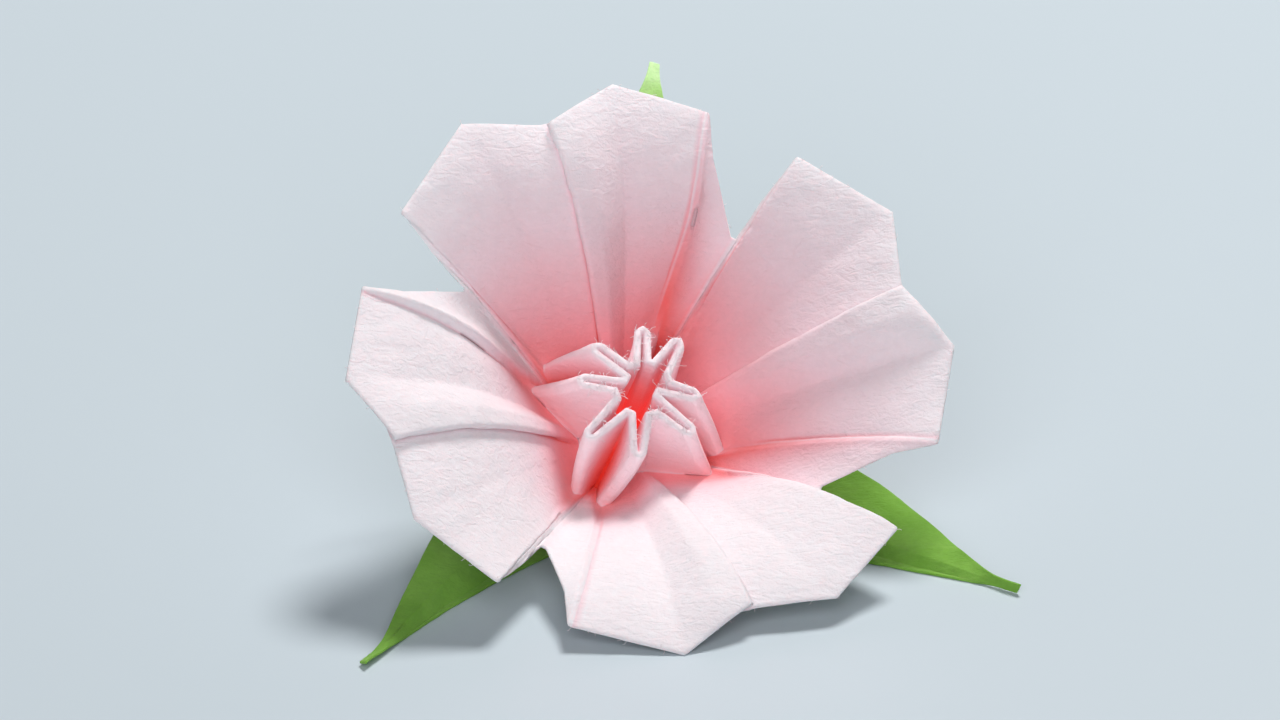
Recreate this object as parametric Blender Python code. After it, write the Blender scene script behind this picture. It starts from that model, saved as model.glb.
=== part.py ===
"""Folded paper flower lying on its green leaf base.

Two real pieces, each one folded sheet:
  blossom    one pink sheet: throat, eight-armed star of doubled walls, four
             petals with an overlapped centre pleat and folded-down sides
  leaf_base  one green sheet: three creased leaves with twisted tips, meeting
             in a hub behind the blossom

Both are worked out in the flower's own frame (axis along z, rim of the
petals near z = 0) and then leaned over to the pose in which it lies.
"""

import math

import bpy
import numpy as np
from mathutils import Vector

# Driving dimensions, in millimetres and degrees unless the name says more
MM = 0.001
SHEET = 0.32            # thickness of the felt-like paper
LAYER_GAP = 0.13        # air between two layers folded together
SLIT = 0.20             # air in the slit of a star arm
PIECE_GAP = 0.30        # air between the blossom and the leaf base

PETALS = 4
NOTCH_RADIUS = 27.7     # inner corner of each petal rim
NEAR_RADIUS = 31.0      # rim corner beside the notch
FAR_RADIUS = 29.5       # rim corner at the folded-down side
NEAR_ANGLE = 15.0
FAR_ANGLE = 35.8
FAR_DROP = 1.3          # how far the far corners lie behind the notch
SIDE_RADIUS = 20.5      # inner end of the folded-down side at the rim
SIDE_ANGLE = 41.0
SIDE_DROP = 9.4
BELL = 1.6              # 1 is a straight cone, more flares the rim

FOOT_RADIUS = 9.8       # where a star arm runs out on the petal
FOOT_ANGLE = 8.5        # off the valley between two petals
FOOT_DROP = 14.1
POCKET_RADIUS = 4.8     # foot of the star between two arms of one petal
POCKET_DROP = 16.7
VALLEY_RADIUS = 7.0     # foot of the star in the valley between petals
VALLEY_DROP = 16.9

TIP_RADIUS = 6.3        # outer tips of the star
TIP_ANGLE = 20.0        # off the valley between two petals
TIP_DROP = 7.3
STAR_POCKET_RADIUS = 2.5
STAR_VALLEY_RADIUS = 2.9
STAR_DROP = 6.5
THROAT_RADIUS = 2.3
THROAT_DROP = 20.1
FLOOR_ANGLE = 18.5       # arms at the throat floor, off the valley

PLEAT_OVERLAP = 2.4     # width of the centre pleat at the rim
PLEAT_PITCH = SHEET + LAYER_GAP
HEM_WIDTH = 0.45        # half width of the flattened side crease
TRENCH_WIDTH = 0.62     # width of the valley floor between petals

LEAF_LENGTHS = (43.4, 43.5, 43.2)
LEAF_ANGLES = (64.0, 208.4, 309.6)
LEAF_TIP_DROPS = (21.3, 3.3, 2.2)
LEAF_RIDGE = 1.25       # height of the centre crease above the leaf edges
LEAF_TIP_WIDTH = 1.0
LEAF_TWIST = 58.0
HUB_RADIUS = 11.0       # inner corner between two leaves

AXIS_ELEVATION = 51.1   # of the flower axis above the table
AXIS_AZIMUTH = -75.4    # of the flower axis, seen from above
SPIN = 9.8              # turn of the blossom about its own axis
RIM_HEIGHT = 20.0      # height of the centre of the rim above the table

STATIONS = 21           # points of one sector on every ring
RINGS_THROAT = 5
RINGS_WALL = 5
RINGS_PETAL = 11

# Small hand-made differences of the four petals and of the eight star arms
HAND_FLARE = (-0.3, 0.4, 0.25, 0.0)
HAND_TURN = (9.0, 2.0, 0.0, -2.0, 0.0, 2.0, 4.0, 2.0)
HAND_REACH = (0.4, 0.1, -0.2, -0.3, 1.0, 0.4, -0.4, -0.4)
STAR_SHIFT = (0.5, 0.45)


def polar(radius, angle, height):
    """Point of the flower frame from a radius, an angle and a height."""
    turn = math.radians(angle)
    return Vector((radius * math.cos(turn), radius * math.sin(turn), height))


def mix(a, b, share):
    """Straight blend of two numbers or vectors."""
    return a + (b - a) * share


def ease(value):
    """Smooth step from 0 to 1."""
    value = min(1.0, max(0.0, value))
    return value * value * (3.0 - 2.0 * value)


def beside(point, angle, offset):
    """Move a point sideways about the axis by a distance in millimetres."""
    turn = math.radians(angle)
    side = Vector((-math.sin(turn), math.cos(turn), 0.0))
    return point + side * offset


def arm_stations(pocket, valley, level):
    """Ten stations from the pocket over one star arm to the valley.

    level holds the tip radius, angle and height, the half width of the arm
    end, how far that end bulges, the spacing at the pocket, and which way
    round the flower the arm is passed.
    """
    tip_r, tip_angle, tip_z, half_width, bulge, bunch, base, way = level
    tip = polar(tip_r, tip_angle, tip_z)
    near = beside(tip, tip_angle, -way * half_width)
    far = beside(tip, tip_angle, way * half_width)
    middle = polar(tip_r + bulge, tip_angle, tip_z)
    start = beside(pocket, base, way * 2.5 * bunch)
    return [
        beside(pocket, base, way * 1.5 * bunch),
        start,
        mix(start, near, 0.34),
        mix(start, near, 0.68),
        near,
        middle,
        far,
        mix(far, valley, 0.5),
        valley,
    ]


def star_ring(pockets, tips, valley, half_width, bulge, bunch):
    """One level of a sector: 21 stations from one petal axis to the next.

    pockets, tips and valley are pairs or one of (radius, height, angle).
    """
    full = 360.0 / PETALS
    valley_point = polar(valley[0], valley[2], valley[1])
    rows = []
    for base, way, pocket, tip in ((0.0, 1.0, pockets[0], tips[0]),
                                   (full, -1.0, pockets[1], tips[1])):
        pocket_point = polar(pocket[0], base + pocket[2], pocket[1])
        bend = beside(valley_point, valley[2], -way * TRENCH_WIDTH * 0.5)
        level = (tip[0], tip[2], tip[1], half_width, bulge, bunch, base, way)
        rows.append(arm_stations(pocket_point, bend, level))
    first, second = rows
    far, bend = second[6], second[8]
    last = polar(pockets[1][0], full + pockets[1][2], pockets[1][1])
    ring = list(first)
    ring.append(bend)
    ring.append(mix(bend, far, 0.36))
    ring.append(mix(bend, far, 0.70))
    ring.extend(second[6:0:-1])
    ring.append(beside(last, full, -1.5 * bunch))
    ring.append(beside(last, full, -0.5 * bunch))
    ring.append(beside(last, full, 0.5 * bunch))
    return ring


def assemble(maker):
    """Whole ring round the flower from one ring per sector."""
    ring = []
    for sector in range(PETALS):
        turn = math.radians(sector * 360.0 / PETALS)
        cos, sin = math.cos(turn), math.sin(turn)
        for point in maker(sector):
            x = point.x * cos - point.y * sin
            y = point.x * sin + point.y * cos
            ring.append(Vector((x, y, point.z)))
    return ring


def crest_sector(sector):
    """Middle line of the star's doubled wall at its top edge."""
    half = 180.0 / PETALS
    pocket = (STAR_POCKET_RADIUS, -STAR_DROP, 0.0)
    tips = []
    for arm, way in ((2 * sector, 1.0), (2 * sector + 1, -1.0)):
        angle = half - way * TIP_ANGLE + HAND_TURN[arm]
        tips.append((TIP_RADIUS + HAND_REACH[arm], -TIP_DROP, angle))
    turn = 0.5 * (HAND_TURN[2 * sector] + HAND_TURN[2 * sector + 1])
    valley = (STAR_VALLEY_RADIUS, -STAR_DROP, half + turn)
    half_width = 0.5 * (SLIT + SHEET + PLEAT_PITCH)
    return star_ring((pocket, pocket), tips, valley, half_width, 0.22, 0.17)


def crest_ring():
    """Top edge of the star with its small hand-made offset."""
    shift = Vector((STAR_SHIFT[0], STAR_SHIFT[1], 0.0))
    return [point + shift for point in assemble(crest_sector)]


def beside_ring(ring, distance):
    """Ring moved sideways in plan, outwards for a positive distance."""
    count = len(ring)
    moved = []
    for k in range(count):
        step_a = ring[k] - ring[k - 1]
        step_b = ring[(k + 1) % count] - ring[k]
        out_a = Vector((step_a.y, -step_a.x, 0.0)).normalized()
        out_b = Vector((step_b.y, -step_b.x, 0.0)).normalized()
        miter = (out_a + out_b) / max(0.4, 1.0 + out_a.dot(out_b))
        moved.append(ring[k] + miter * distance)
    for k in range(count):
        if k % STATIONS == STATIONS - 4:
            start = moved[k]
            end = moved[(k + 5) % count]
            for step in range(1, 5):
                moved[(k + step) % count] = mix(start, end, step / 5.0)
    return moved


def bend_between(a, b, share, power):
    """Blend two rings: straight down first, then sideways."""
    ring = []
    for p, q in zip(a, b):
        point = mix(p, q, share ** power)
        point.z = mix(p.z, q.z, share)
        ring.append(point)
    return ring


def floor_sector(sector):
    """Bottom of the throat, where all the folds run together."""
    half = 180.0 / PETALS
    pocket = (THROAT_RADIUS, -THROAT_DROP, 0.0)
    tips = []
    for way in (1.0, -1.0):
        angle = half - way * FLOOR_ANGLE
        tips.append((THROAT_RADIUS + 0.25, -THROAT_DROP, angle))
    return star_ring(
        (pocket, pocket), tips, (THROAT_RADIUS, -THROAT_DROP, half),
        0.5 * (SLIT + SHEET), 0.05, 0.13)


def base_sector(sector):
    """Where the star's outer walls turn out into the petals."""
    half = 180.0 / PETALS
    pocket = (POCKET_RADIUS, -POCKET_DROP, 0.0)
    feet = []
    for way in (1.0, -1.0):
        feet.append((FOOT_RADIUS, -FOOT_DROP, half - way * FOOT_ANGLE))
    return star_ring(
        (pocket, pocket), feet, (VALLEY_RADIUS, -VALLEY_DROP, half),
        HEM_WIDTH, 0.12, 0.16)


def rim_ring():
    """The 21 rim points of one sector, pleat offsets left out."""
    full = 360.0 / PETALS
    near_z = -0.15 * FAR_DROP
    points = []
    for base, way in ((0.0, 1.0), (full, -1.0)):
        notch = polar(NOTCH_RADIUS, base, 0.0)
        near = polar(NEAR_RADIUS, base + way * NEAR_ANGLE, near_z)
        far = polar(FAR_RADIUS, base + way * FAR_ANGLE, -FAR_DROP)
        inward = (near - far).normalized()
        points.append((notch, near, far, inward))
    half = 0.5 * full
    end = polar(SIDE_RADIUS, SIDE_ANGLE, -SIDE_DROP)
    notch, near, far, inward = points[0]
    under = (end - far).normalized()
    trench_a = beside(end, half, -TRENCH_WIDTH * 0.5)
    trench_b = beside(end, half, TRENCH_WIDTH * 0.5)
    ring = [
        notch,
        beside(notch, 0.0, 0.9),
        near,
        mix(near, far, 0.5),
        far + inward * HEM_WIDTH,
        far,
        far + under * HEM_WIDTH,
        mix(far, end, 0.52) + Vector((0.0, 0.0, -0.3)),
        trench_a,
        trench_b,
    ]
    notch, near, far, inward = points[1]
    side = polar(25.6, full - 38.6, -3.7)
    low = polar(22.6, full - 43.6, -6.9)
    under = (side - far).normalized()
    ring.extend([
        low,
        side,
        far + under * HEM_WIDTH,
        far,
        far + inward * HEM_WIDTH,
        mix(near, far, 0.5),
        near,
        beside(notch, full, -PLEAT_OVERLAP - 0.7),
        notch,
        notch,
        notch,
    ])
    return ring


def pleat_offset(station, share):
    """Sideways and upward offset of the pleat's stations at one ring.

    The sheet is flat at the star, then steps up as a small wall, and then
    lies in three layers that widen towards the rim.
    """
    pitch = PLEAT_PITCH
    order = {18: 0, 19: 1, 20: 2, 0: 3}
    level = 1.0 - 2.0 * order[station] / 3.0
    flat = (-0.24 + 0.16 * order[station], 0.0)
    wall = (0.0, level * pitch)
    width = mix(0.5, PLEAT_OVERLAP, max(0.0, share - 0.22) / 0.78)
    folded = {
        18: (0.0, pitch),
        19: (0.0, 0.0),
        20: (-width, 0.0),
        0: (-width, -pitch),
    }[station]
    if share <= WALL_SHARE:
        part = share / WALL_SHARE
        return mix(flat[0], wall[0], part), mix(flat[1], wall[1], part)
    part = ease((share - WALL_SHARE) / (FOLD_SHARE - WALL_SHARE))
    return mix(wall[0], folded[0], part), mix(wall[1], folded[1], part)


WALL_SHARE = 0.09
FOLD_SHARE = 0.24
PETAL_SHARES = (0.045, 0.09, 0.14, 0.19, 0.24, 0.34, 0.45, 0.56, 0.67,
                0.78, 0.88, 0.95, 1.0)
VALLEY_SHARE = {7: 0.5, 8: 1.0, 9: 1.0, 10: 0.9, 11: 0.6, 12: 0.3}


def petal_ring(share, flare_a, flare_b):
    """Ring of the petals, share 0 at the star's base to 1 at the rim."""
    start = base_sector(0)
    rim = rim_ring()
    full = 360.0 / PETALS
    centre_a = polar(POCKET_RADIUS, 0.0, -POCKET_DROP)
    centre_b = polar(POCKET_RADIUS, full, -POCKET_DROP)
    ring = []
    for station in range(STATIONS):
        flare = flare_a if station < 8 else flare_b
        flare *= 1.0 - VALLEY_SHARE.get(station, 0.0)
        stiff = mix(BELL, 1.12, VALLEY_SHARE.get(station, 0.0))
        bell = 1.0 - (1.0 - share) ** (stiff + flare)
        in_pleat = station in (18, 19, 20, 0)
        a = start[station]
        if in_pleat:
            a = centre_a if station == 0 else centre_b
        b = rim[station]
        point = mix(a, b, share)
        point.z = mix(a.z, b.z, bell)
        angle = 0.0 if station < 2 else full
        steep = (stiff + flare) * (1.0 - share) ** (stiff + flare - 1.0)
        slope = math.atan2(steep * (b.z - a.z), math.hypot(b.x, b.y) - POCKET_RADIUS)
        up = polar(-math.sin(slope), angle, math.cos(slope))
        if in_pleat:
            offset = pleat_offset(station, share)
            point = beside(point, angle, offset[0]) + up * offset[1]
        if station == 17:
            point += up * PLEAT_PITCH * ease(share / WALL_SHARE)
        if station == 1:
            point -= up * PLEAT_PITCH * ease(share / WALL_SHARE)
        ring.append(point)
    return ring


def blossom_surface():
    """Middle surface of the pink sheet as points and faces."""
    crest = crest_ring()
    inside = beside_ring(crest, -0.5 * PLEAT_PITCH)
    outside = beside_ring(crest, 0.5 * PLEAT_PITCH)
    lift = Vector((0.0, 0.0, 0.12))
    floor = assemble(floor_sector)
    base = assemble(base_sector)
    levels = []
    for row in range(RINGS_THROAT, -1, -1):
        levels.append(bend_between(inside, floor, row / RINGS_THROAT, 0.75))
    levels.append([point + lift for point in crest])
    for row in range(RINGS_WALL + 1):
        levels.append(bend_between(outside, base, row / RINGS_WALL, 1.9))
    for share in PETAL_SHARES:
        levels.append(assemble(lambda sector: petal_ring(
            share, HAND_FLARE[sector], HAND_FLARE[(sector + 1) % PETALS])))
    points = [Vector((0.0, 0.0, -THROAT_DROP - 0.15))]
    faces = []
    rings = []
    for level in levels:
        rings.append(range(len(points), len(points) + len(level)))
        points.extend(level)
    count = len(levels[0])
    for k in range(count):
        faces.append((0, rings[0][k], rings[0][(k + 1) % count]))
    for a, b in zip(rings, rings[1:]):
        for k in range(count):
            m = (k + 1) % count
            faces.append((a[k], b[k], b[m], a[m]))
    return points, faces


LEAF_ROWS = (0.0, 2.0, 4.0, 5.6, 7.5, 10.5, 14.0, 18.0, 22.5, 27.0,
             31.5, 35.5, 38.5, 40.3, 41.9, 43.4)
HUB_ROWS = 4


def leaf_half_width(run, length, hub_run, hub_half):
    """Half width of a leaf at a distance from the hub's centre."""
    if run <= hub_run:
        return hub_half * run / hub_run
    neck = length - 4.0
    part = min(1.0, (run - hub_run) / (neck - hub_run))
    bow = 0.5 * math.sin(math.pi * part)
    return mix(hub_half, 0.5 * LEAF_TIP_WIDTH, part) + bow


def leaf_surface():
    """Middle surface of the green sheet as points and faces."""
    points = []
    faces = []
    seen = {}
    hub_z = -THROAT_DROP - 0.15 - SHEET - PIECE_GAP
    grids = []
    for index, angle in enumerate(LEAF_ANGLES):
        before = LEAF_ANGLES[index - 1]
        after = LEAF_ANGLES[(index + 1) % 3]
        gap_left = (after - angle) % 360.0 * 0.5
        gap_right = (angle - before) % 360.0 * 0.5
        length = LEAF_LENGTHS[index]
        rise = -LEAF_TIP_DROPS[index] - hub_z
        grid = []
        for row, level in enumerate(LEAF_ROWS):
            line = []
            for step in range(-4, 5):
                across = step / 4.0
                gap = gap_left if across > 0.0 else gap_right
                reach = HUB_RADIUS * math.cos(math.radians(gap))
                hub_half = HUB_RADIUS * math.sin(math.radians(gap))
                run = level
                hub_level = LEAF_ROWS[HUB_ROWS - 1]
                if row < HUB_ROWS:
                    run = mix(level, reach * level / hub_level, abs(across))
                    half = hub_half * level / hub_level
                else:
                    blend = (level - hub_level) / (length - hub_level)
                    run = level + (reach - hub_level) * abs(across) * (1.0 - blend) ** 4
                    half = leaf_half_width(level, length, hub_level, hub_half)
                along = max(0.0, run - 3.0) / (length - 3.0)
                body = ease((level - 4.0) / 10.0) * (1.0 - ease((level - 33.0) / 7.0))
                z = hub_z + rise * along ** 1.08
                z += LEAF_RIDGE * body * (0.35 - abs(across))
                side = across * half
                twist = math.radians(LEAF_TWIST) * ease((level - 36.5) / 6.0)
                lift = side * math.sin(twist)
                side *= math.cos(twist)
                turn = math.radians(angle)
                x = run * math.cos(turn) - side * math.sin(turn)
                y = run * math.sin(turn) + side * math.cos(turn)
                line.append(Vector((x, y, z + lift)))
            grid.append(line)
        grids.append(grid)
    for grid in grids:
        table = []
        for line in grid:
            marks = []
            for point in line:
                key = (round(point.x, 3), round(point.y, 3))
                if key not in seen:
                    seen[key] = len(points)
                    points.append(point)
                marks.append(seen[key])
            table.append(marks)
        for a, b in zip(table, table[1:]):
            for k in range(len(a) - 1):
                face = [a[k], b[k], b[k + 1], a[k + 1]]
                short = [v for i, v in enumerate(face) if v not in face[:i]]
                if len(short) > 2:
                    faces.append(tuple(short))
    return points, faces


def lean(point):
    """Turn a point of the flower's own frame to the pose on the table."""
    up = math.radians(AXIS_ELEVATION)
    round_z = math.radians(AXIS_AZIMUTH)
    axis = Vector((math.cos(up) * math.cos(round_z),
                   math.cos(up) * math.sin(round_z), math.sin(up)))
    level = Vector((0.0, 0.0, 1.0)).cross(axis).normalized()
    cross = axis.cross(level)
    spin = math.radians(SPIN)
    side = level * math.cos(spin) + cross * math.sin(spin)
    other = axis.cross(side)
    lifted = side * point.x + other * point.y + axis * point.z
    return lifted + Vector((0.0, 0.0, RIM_HEIGHT))


def thicken(points, faces, thickness):
    """Closed solid from a middle surface, both faces half a sheet away."""
    count = len(points)
    normals = []
    around = [[] for _ in range(count)]
    edges = {}
    for number, face in enumerate(faces):
        ring = [points[v] for v in face]
        normal = Vector((0.0, 0.0, 0.0))
        for a, b in zip(ring, ring[1:] + ring[:1]):
            normal += a.cross(b)
        size = normal.length
        normals.append((normal / max(size, 1e-9), size))
        for a, b in zip(face, face[1:] + face[:1]):
            around[a].append(number)
            edges[(a, b)] = number
    shifts = []
    for vertex in range(count):
        matrix = np.eye(3) * 0.02
        target = np.zeros(3)
        total = Vector((0.0, 0.0, 0.0))
        for number in around[vertex]:
            normal = np.array(normals[number][0])
            matrix += np.outer(normal, normal)
            target += normal
            total += normals[number][0]
        shift = Vector(np.linalg.solve(matrix, target))
        if shift.length > 1.5:
            shift *= 1.5 / shift.length
        shifts.append(shift * 0.5 * thickness)
    top = [p + s for p, s in zip(points, shifts)]
    bottom = [p - s for p, s in zip(points, shifts)]
    solid = [tuple(face) for face in faces]
    solid += [tuple(v + count for v in reversed(face)) for face in faces]
    for a, b in edges:
        if (b, a) not in edges:
            solid.append((b, a, a + count, b + count))
    return top + bottom, solid


def material(name, colour, roughness):
    """Plain paper material."""
    made = bpy.data.materials.new(name)
    made.use_nodes = True
    shader = made.node_tree.nodes["Principled BSDF"]
    shader.inputs["Base Color"].default_value = colour
    shader.inputs["Roughness"].default_value = roughness
    made.diffuse_color = colour
    return made


def triangles(points, face):
    """Split a face along its shorter diagonal."""
    if len(face) == 3:
        return [face]
    a, b, c, d = face
    first = (points[a] - points[c]).length
    second = (points[b] - points[d]).length
    if first <= second:
        return [(a, b, c), (a, c, d)]
    return [(a, b, d), (b, c, d)]


def make_object(name, points, faces, made):
    """Mesh object in metres from points in millimetres."""
    split = []
    for face in faces:
        split.extend(triangles(points, face))
    mesh = bpy.data.meshes.new(name)
    mesh.from_pydata([tuple(p * MM) for p in points], [], split)
    mesh.validate()
    mesh.update()
    mesh.materials.append(made)
    obj = bpy.data.objects.new(name, mesh)
    bpy.context.scene.collection.objects.link(obj)
    return obj


def press_flat(points):
    """Lay what would sink into the table flat on it."""
    floor = 0.5 * SHEET
    return [Vector((p.x, p.y, max(p.z, floor))) for p in points]


def centre_offset(groups):
    """Move that puts the middle of the footprint over the origin."""
    every = [point for group in groups for point in group]
    low = [min(p[axis] for p in every) for axis in range(3)]
    high = [max(p[axis] for p in every) for axis in range(3)]
    return Vector((-0.5 * (low[0] + high[0]), -0.5 * (low[1] + high[1]), -low[2]))


def main():
    for old in list(bpy.data.objects):
        bpy.data.objects.remove(old, do_unlink=True)
    pink = material("pink_paper", (0.86, 0.50, 0.54, 1.0), 0.9)
    green = material("green_paper", (0.20, 0.42, 0.06, 1.0), 0.9)
    points, faces = blossom_surface()
    points = [lean(p) for p in points]
    blossom, blossom_faces = thicken(points, faces, SHEET)
    points, faces = leaf_surface()
    points = press_flat([lean(p) for p in points])
    leaves, leaf_faces = thicken(points, faces, SHEET)
    move = centre_offset((blossom, leaves))
    blossom = [p + move for p in blossom]
    leaves = [p + move for p in leaves]
    make_object("blossom", blossom, blossom_faces, pink)
    make_object("leaf_base", leaves, leaf_faces, green)


main()
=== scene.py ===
"""Looks of the folded paper flower: finely creased sheets, fibrous paper, studio."""

import math

import bpy
import numpy as np
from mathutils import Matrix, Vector, noise


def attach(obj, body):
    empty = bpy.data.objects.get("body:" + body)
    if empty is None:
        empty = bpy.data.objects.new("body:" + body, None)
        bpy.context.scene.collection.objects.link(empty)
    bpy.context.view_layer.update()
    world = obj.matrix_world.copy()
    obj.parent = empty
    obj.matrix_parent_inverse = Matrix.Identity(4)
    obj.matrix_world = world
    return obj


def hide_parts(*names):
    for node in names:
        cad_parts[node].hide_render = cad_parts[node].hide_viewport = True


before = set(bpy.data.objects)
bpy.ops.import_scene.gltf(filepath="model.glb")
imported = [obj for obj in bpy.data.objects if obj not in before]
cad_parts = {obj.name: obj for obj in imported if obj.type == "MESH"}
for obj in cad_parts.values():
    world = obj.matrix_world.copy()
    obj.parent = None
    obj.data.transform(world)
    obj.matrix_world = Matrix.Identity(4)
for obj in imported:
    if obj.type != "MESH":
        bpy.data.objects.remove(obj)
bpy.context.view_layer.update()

# Driving dimensions, in millimetres and degrees unless the name says more
MM = 0.001
SHEET = 0.32            # thickness of the felt-like paper
LAYER_GAP = 0.13        # air between two layers folded together
SLIT = 0.14             # air in the slit of a star arm
PIECE_GAP = 0.30        # air between the blossom and the leaf base

PETALS = 4
NOTCH_RADIUS = 27.7     # inner corner of each petal rim
NEAR_RADIUS = 31.0      # rim corner beside the notch
FAR_RADIUS = 29.5       # rim corner at the folded-down side
NEAR_ANGLE = 15.0
FAR_ANGLE = 35.8
FAR_DROP = 1.3          # how far the far corners lie behind the notch
NEAR_SINK = 0.15        # the same for the near corners, as a share of that
SIDE_RADIUS = 20.5      # inner end of the folded-down side at the rim
SIDE_ANGLE = 41.0
SIDE_DROP = 6.6
BELL = 1.6              # 1 is a straight cone, more flares the rim
FOOT_BELL = 1.3         # highest bell exponent at the foot of a side
VALLEY_BELL = 1.0       # the same for the valley between two petals
# Kinks of the other strip's edge from its far corner, as shares of the way in
# radius, angle and drop
STRIP_EDGE = ((0.43, 0.21, 0.30), (0.77, 0.59, 0.69))
NARROW_EDGE = 0.52      # kink of the narrow strip's edge, from far corner
NARROW_SAG = 0.3        # drop of that kink

FOOT_RADIUS = 9.8       # where a star arm runs out on the petal
FOOT_ANGLE = 8.5        # off the valley between two petals
FOOT_DROP = 14.1
POCKET_RADIUS = 4.8     # foot of the star between two arms of one petal
POCKET_DROP = 16.7
VALLEY_RADIUS = 7.0     # foot of the star in the valley between petals
VALLEY_DROP = 16.9

TIP_RADIUS = 6.3        # outer tips of the star
TIP_ANGLE = 20.0        # off the valley between two petals
TIP_DROP = 7.3
STAR_POCKET_RADIUS = 2.5
STAR_VALLEY_RADIUS = 2.9
STAR_DROP = 6.5
THROAT_RADIUS = 2.3
THROAT_DROP = 20.1
FLOOR_ANGLE = 18.5      # arms at the throat floor, off the valley
TIP_BULGE = 0.45        # how far the end of an arm bulges at the star's top
FOOT_BULGE = 0.30
FLOOR_BULGE = 0.05
CREST_BUNCH = 0.17      # spacing of the pleat's lines at the star's top
FOOT_BUNCH = 0.16
FLOOR_BUNCH = 0.13
THROAT_POWER = 0.75     # how late the throat narrows below the star
WALL_POWER = 1.9        # how late the star's walls turn out into the petals
ARM_POWER = 1.1         # the same for the arms' outer folds
# Where a station lies between the arms' folds, 0, and the free walls, 1
WALL_BLEND = {3: 0.4, 4: 0.0, 5: 0.0, 6: 0.0, 7: 0.75,
              11: 0.75, 12: 0.0, 13: 0.0, 14: 0.0, 15: 0.4}
ARM_SHARES = (0.34, 0.68)       # wall stations between the pleat and an arm's end
STRIP_SHARES = (0.36, 0.70)     # the same from the valley to the next arm's end
CORNER_LIMIT = 0.4      # keeps a sharp corner of a moved ring from shooting out
FLOOR_REACH = 0.25      # how far the arms stand out at the throat floor

PLEAT_OVERLAP = 2.4     # width of the centre pleat at the rim
PLEAT_START = 0.5       # and where it first lies folded over
PLEAT_LIP = 0.7         # flat strip kept beside the pleat's turned edge
PLEAT_PITCH = SHEET + LAYER_GAP
HEM_WIDTH = 0.45        # half width of the flattened side crease
TRENCH_WIDTH = 0.62     # width of the valley floor between petals

LEAF_LENGTHS = (43.9, 43.5, 43.2)
LEAF_ANGLES = (63.5, 208.4, 309.6)
LEAF_TIP_DROPS = (21.3, 3.3, 2.2)
LEAF_NECKS = (1.0, 4.0, 3.5)    # length of the narrow twisted tip
LEAF_TWISTS = (20.0, 58.0, 58.0)
LEAF_RIDGE = 1.25       # height of the centre crease above the leaf edges
LEAF_RIDGE_LEVEL = 0.35     # where across a leaf its mean height lies
LEAF_RIDGE_START = 0.36     # the crease rises from here, of the hub's radius
LEAF_RIDGE_END = (0.76, 0.16)   # and sinks from here, over this share of the leaf
LEAF_WINDING = (0.84, 0.14)     # the tip's twist starts here, and its run
LEAF_CURVE = 1.08       # 1 is a straight leaf, more bends its tip
LEAF_TIP_WIDTH = 1.0
# How far the left edge, the centre crease and the right edge bow out
LEAF_BOWS = ((0.5, 0.0, 0.5), (-1.4, -1.1, 0.6), (2.8, 0.0, 0.5))
HUB_RADIUS = 11.0       # inner corner between two leaves
HUB_FLAT = 3.0          # radius of the level middle of the hub
HUB_SEAT = 0.15         # depth of the throat's apex below its floor ring

AXIS_ELEVATION = 51.1   # of the flower axis above the table
AXIS_AZIMUTH = -75.4    # of the flower axis, seen from above
SPIN = 9.8              # turn of the blossom about its own axis
RIM_HEIGHT = 20.0       # height of the centre of the rim above the table

STATIONS = 21           # points of one sector on every ring
WALL_SHARE = 0.09       # of a petal's length: the pleat stands up here
FOLD_SHARE = 0.24       # and lies folded over from here on
WIDEN_SHARE = 0.22      # the pleat widens from here to the rim
LIP_SHARE = 0.75        # the rim's slant reaches the pleat from here on
STEP_START = 0.05       # the side creases step up from here on
STEP_RUN = 0.3
STEP_FADE = 0.7
PETAL_SHARES = (0.045, 0.09, 0.14, 0.19, 0.24, 0.34, 0.45, 0.56, 0.67,
                0.78, 0.88, 0.95, 1.0)
# How far a station follows the side crease in its bell
SIDE_SHARE = {2: 0.3, 3: 0.65, 4: 1.0, 5: 1.0, 6: 1.0,
              12: 1.0, 13: 1.0, 14: 1.0, 15: 0.65, 16: 0.3}
# Stations stretched between two others, with their share at the star
STRETCHED = {7: (6, 8, 0.5), 10: (9, 12, STRIP_SHARES[0]), 11: (9, 12, STRIP_SHARES[1])}
# Which way the layers of a side crease stand off the panel
STEP_SHARE = {4: 0.5, 5: 0.5, 6: -0.5, 12: 0.5, 13: 0.5, 14: -0.5}
HUB_SHARES = (0.0, 0.36, 0.71, 1.0)
LEAF_SHARES = (0.05, 0.13, 0.222, 0.328, 0.447, 0.566, 0.685, 0.791, 0.870,
               0.918, 0.960, 1.0)
HUB_REACH = 0.51        # middle of the hub's last row, of the hub radius

# Small hand-made differences of the four petals and of the eight star arms.
# Sides and arms are counted round the flower, two to each valley.
HAND_FLARE = (-0.3, 0.4, 0.25, 0.0)
HAND_NEAR_REACH = (0.0, -0.1, 0.5, -0.2, -0.9, 0.7, -0.3, 0.3)
HAND_NEAR_TURN = (0.5, -0.6, 1.0, -1.2, 2.2, -0.2, 1.8, -1.4)
HAND_FAR_REACH = (-0.5, 0.0, -0.2, 0.1, -0.9, 0.2, 0.3, 0.6)
HAND_FAR_TURN = (0.8, -2.2, 1.2, -1.2, 1.3, 0.9, 1.0, -2.8)
HAND_SIDE_REACH = (-0.5, -0.3, -0.2, 0.3)
HAND_SIDE_TURN = (-1.1, -1.2, -0.5, 0.6)
HAND_SIDE_BELL = (1.5, 1.7, 1.2, 2.0, 1.15, 1.6, 2.0, 1.35)
HAND_BOW = (0.0, 0.8, 0.0, 0.3, 0.0, 0.0, 0.0, 0.0)
HAND_STEP = (0.3, 0.55, 0.2, 0.9, 0.3, 0.35, 0.3, 0.4)
HAND_TURN = (9.0, 2.0, 0.0, -2.0, 0.0, 2.0, 4.0, 2.0)
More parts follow.
